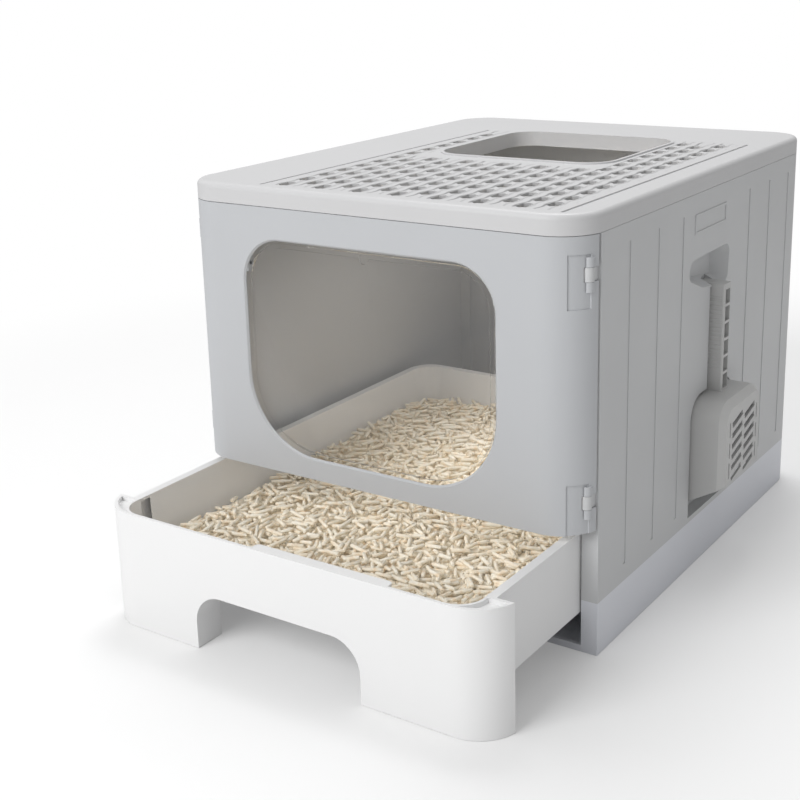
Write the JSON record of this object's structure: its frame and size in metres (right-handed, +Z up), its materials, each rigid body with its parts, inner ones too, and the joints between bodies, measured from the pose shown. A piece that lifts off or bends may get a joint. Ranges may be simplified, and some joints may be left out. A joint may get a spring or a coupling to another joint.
{
  "type": "drawer litter box",
  "caption": "Covered litter box with a pull-out litter drawer, hinged front door with a clear swing flap, slotted top-entry lid and a scoop hung in its side panel.",
  "frame": {"origin": "middle of the base's footprint, on the floor", "axes": "+X to the object's right seen from the front, +Y to the back, +Z up"},
  "size_m": [0.442, 0.654, 0.3815],
  "materials": {
    "base_plastic": "fine satin moulding",
    "panel_plastic": "fine satin moulding",
    "lid_plastic": "fine satin moulding",
    "pin_plastic": "smooth moulded rod",
    "flap_clear": "clear, lightly tinted, polished",
    "drawer_plastic": "smooth white",
    "litter_pellets": "loose pale pellets",
    "scoop_plastic": "fine satin moulding"
  },
  "bodies": {
    "housing": {"base_tray": "base_plastic", "left_side_panel": "panel_plastic", "right_side_panel": "panel_plastic", "rear_panel": "panel_plastic"},
    "lid": {"lid": "lid_plastic"},
    "door": {"front_door": "panel_plastic", "door_hinge_pin_upper": "pin_plastic", "door_hinge_pin_lower": "pin_plastic"},
    "flap": {"door_flap": "flap_clear"},
    "drawer": {"drawer": "drawer_plastic", "litter_fill": "litter_pellets"},
    "scoop": {"scoop": "scoop_plastic"}
  },
  "joints": [
    {"name": "lid_lift", "type": "slide", "parent": "housing", "child": "lid", "axis": [0, 0, 1], "range_m": [0, 0.15]},
    {"name": "door_swing", "type": "hinge", "parent": "housing", "child": "door", "pos_m": [0.199, -0.238, 0.23], "axis": [0, 0, 1], "range_deg": [0, 120]},
    {"name": "flap_swing", "type": "hinge", "parent": "door", "child": "flap", "pos_m": [-0.003, -0.2535, 0.309], "axis": [1, 0, 0], "range_deg": [-80, 80]},
    {"name": "drawer_slide", "type": "slide", "parent": "housing", "child": "drawer", "axis": [0, -1, 0], "range_m": [-0.134, 0.15]},
    {"name": "scoop_pull", "type": "slide", "parent": "housing", "child": "scoop", "axis": [1, 0, 0], "range_m": [0, 0.12]}
  ]
}
